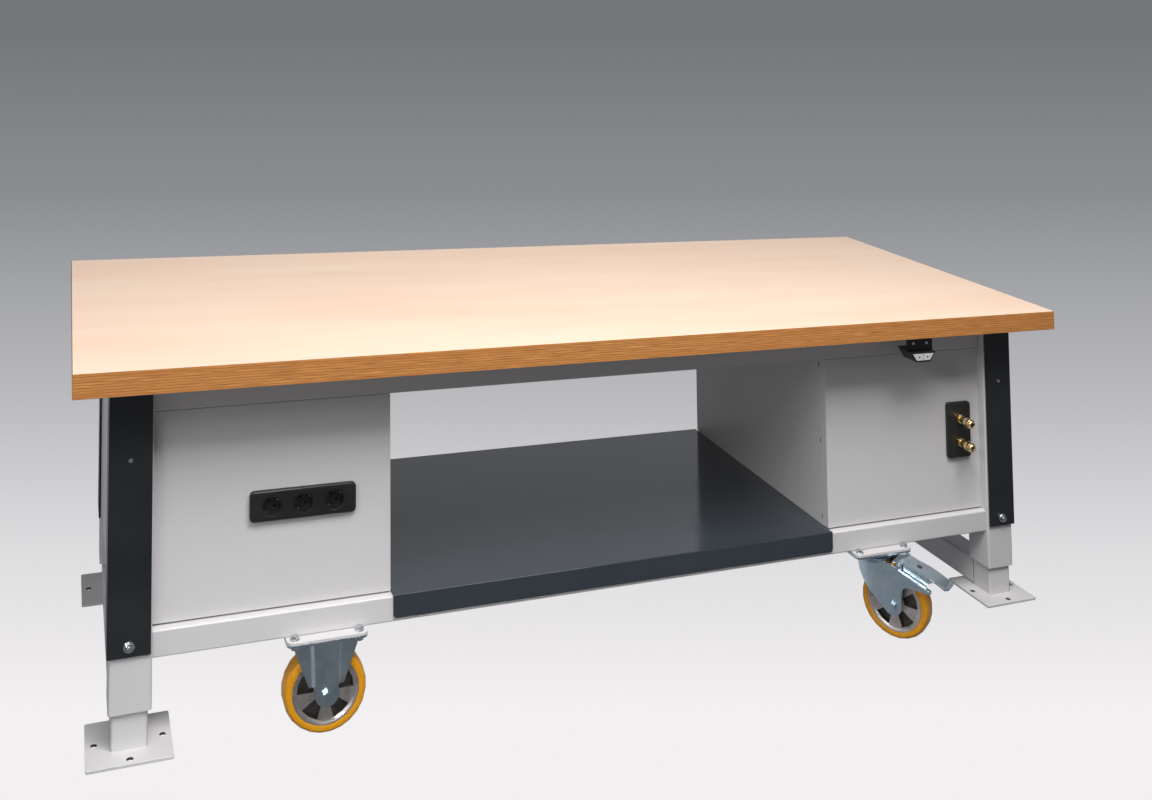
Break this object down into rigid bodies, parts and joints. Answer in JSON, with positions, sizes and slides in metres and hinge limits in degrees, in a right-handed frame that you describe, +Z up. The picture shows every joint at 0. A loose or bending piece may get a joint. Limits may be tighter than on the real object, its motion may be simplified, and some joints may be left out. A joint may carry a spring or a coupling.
{
  "type": "assembly table",
  "caption": "Mobile height-adjustable assembly table: thick wooden top on telescopic legs, cabinets beside an open shelf bay, mains and air outlets, hand switch, braked casters.",
  "frame": {"origin": "on the floor under the middle of the tabletop, with the table on its casters", "axes": "+X to the right along the length seen from the front, +Y to the back, +Z up"},
  "size_m": [2.5, 1.0814, 0.844],
  "materials": {
    "wood": "oiled",
    "grey_paint": "powder coated",
    "dark_paint": "powder coated",
    "black_plastic": "moulded",
    "grey_plastic": "moulded",
    "brass": "turned",
    "zinc": "zinc plated",
    "aluminium": "cast",
    "tyre": "cast polyurethane"
  },
  "bodies": {
    "frame": {"tabletop": "wood", "leg_front_left": "grey_paint", "leg_cover_front_left": "dark_paint", "leg_front_right": "grey_paint", "leg_cover_front_right": "dark_paint", "leg_back_left": "grey_paint", "leg_cover_back_left": "dark_paint", "leg_back_right": "grey_paint", "leg_cover_back_right": "dark_paint", "top_rail_left": "grey_paint", "left_front_panel": "grey_paint", "left_back_panel": "grey_paint", "left_end_panel": "grey_paint", "left_inner_panel": "grey_paint", "top_rail_right": "grey_paint", "right_front_panel": "grey_paint", "right_back_panel": "grey_paint", "right_end_panel": "grey_paint", "right_inner_panel": "grey_paint", "top_rail_front": "grey_paint", "base_rail_front": "grey_paint", "top_rail_back": "grey_paint", "base_rail_back": "grey_paint", "shelf": "dark_paint", "switch_bracket": "dark_paint", "lift_power_unit": "dark_paint", "socket_frame": "black_plastic", "socket_insert_left": "black_plastic", "socket_insert_middle": "black_plastic", "socket_insert_right": "black_plastic", "air_plate": "black_plastic", "switch_housing": "black_plastic", "air_coupling_upper": "brass", "air_coupling_lower": "brass", "fixed_caster_bracket_front": "zinc", "swivel_head_front": "zinc", "fixed_caster_bracket_back": "zinc", "swivel_head_back": "zinc"},
    "left_feet": {"foot_front_left": "grey_paint", "foot_back_left": "grey_paint", "foot_beam_left": "grey_paint"},
    "right_feet": {"foot_front_right": "grey_paint", "foot_back_right": "grey_paint", "foot_beam_right": "grey_paint"},
    "fixed_wheel_front": {"fixed_wheel_front_rim": "aluminium", "fixed_wheel_front_tyre": "tyre"},
    "swivel_fork_front": {"swivel_fork_front": "zinc"},
    "swivel_wheel_front": {"swivel_wheel_front_rim": "aluminium", "swivel_wheel_front_tyre": "tyre"},
    "brake_pedal_front": {"brake_pedal_front": "zinc"},
    "fixed_wheel_back": {"fixed_wheel_back_rim": "aluminium", "fixed_wheel_back_tyre": "tyre"},
    "swivel_fork_back": {"swivel_fork_back": "zinc"},
    "swivel_wheel_back": {"swivel_wheel_back_rim": "aluminium", "swivel_wheel_back_tyre": "tyre"},
    "brake_pedal_back": {"brake_pedal_back": "zinc"},
    "button_down": {"switch_button_down": "grey_plastic"},
    "button_up": {"switch_button_up": "grey_plastic"},
    "sleeve_upper": {"air_coupling_sleeve_upper": "brass"},
    "sleeve_lower": {"air_coupling_sleeve_lower": "brass"}
  },
  "joints": [
    {"name": "left_lift", "type": "slide", "parent": "frame", "child": "left_feet", "axis": [0, 0, -1], "range_m": [0, 0.3]},
    {"name": "right_lift", "type": "slide", "parent": "frame", "child": "right_feet", "axis": [0, 0, -1], "range_m": [0, 0.3]},
    {"name": "fixed_wheel_front_roll", "type": "hinge", "parent": "frame", "child": "fixed_wheel_front", "pos_m": [-0.731, -0.3525, 0.09], "axis": [0, 1, 0], "continuous": true},
    {"name": "fixed_wheel_back_roll", "type": "hinge", "parent": "frame", "child": "fixed_wheel_back", "pos_m": [-0.731, 0.3525, 0.09], "axis": [0, 1, 0], "continuous": true},
    {"name": "swivel_front", "type": "hinge", "parent": "frame", "child": "swivel_fork_front", "pos_m": [0.731, -0.3525, 0.19], "axis": [0, 0, 1], "continuous": true},
    {"name": "swivel_wheel_front_roll", "type": "hinge", "parent": "swivel_fork_front", "child": "swivel_wheel_front", "pos_m": [0.76688, -0.4067, 0.09], "axis": [0.8339, 0.5519, 0], "continuous": true},
    {"name": "brake_front", "type": "hinge", "parent": "swivel_fork_front", "child": "brake_pedal_front", "pos_m": [0.77792, -0.42338, 0.196], "axis": [0.8339, 0.5519, 0], "range_deg": [0, 15]},
    {"name": "swivel_back", "type": "hinge", "parent": "frame", "child": "swivel_fork_back", "pos_m": [0.731, 0.3525, 0.19], "axis": [0, 0, 1], "continuous": true},
    {"name": "swivel_wheel_back_roll", "type": "hinge", "parent": "swivel_fork_back", "child": "swivel_wheel_back", "pos_m": [0.76688, 0.4067, 0.09], "axis": [-0.8339, 0.5519, 0], "continuous": true},
    {"name": "brake_back", "type": "hinge", "parent": "swivel_fork_back", "child": "brake_pedal_back", "pos_m": [0.77792, 0.42338, 0.196], "axis": [-0.8339, 0.5519, 0], "range_deg": [0, 15]},
    {"name": "button_down_press", "type": "slide", "parent": "frame", "child": "button_down", "axis": [0, 1, 0], "range_m": [0, 0.002], "stiffness_N_per_m": 600, "springref_m": -0.001},
    {"name": "button_up_press", "type": "slide", "parent": "frame", "child": "button_up", "axis": [0, 1, 0], "range_m": [0, 0.002], "stiffness_N_per_m": 600, "springref_m": -0.001},
    {"name": "sleeve_upper_pull", "type": "slide", "parent": "frame", "child": "sleeve_upper", "axis": [0, 1, 0], "range_m": [0, 0.006], "stiffness_N_per_m": 1500, "springref_m": -0.002},
    {"name": "sleeve_lower_pull", "type": "slide", "parent": "frame", "child": "sleeve_lower", "axis": [0, 1, 0], "range_m": [0, 0.006], "stiffness_N_per_m": 1500, "springref_m": -0.002}
  ],
  "couplings": [
    {"joint": "right_lift", "follows": "left_lift", "ratio": 1}
  ]
}
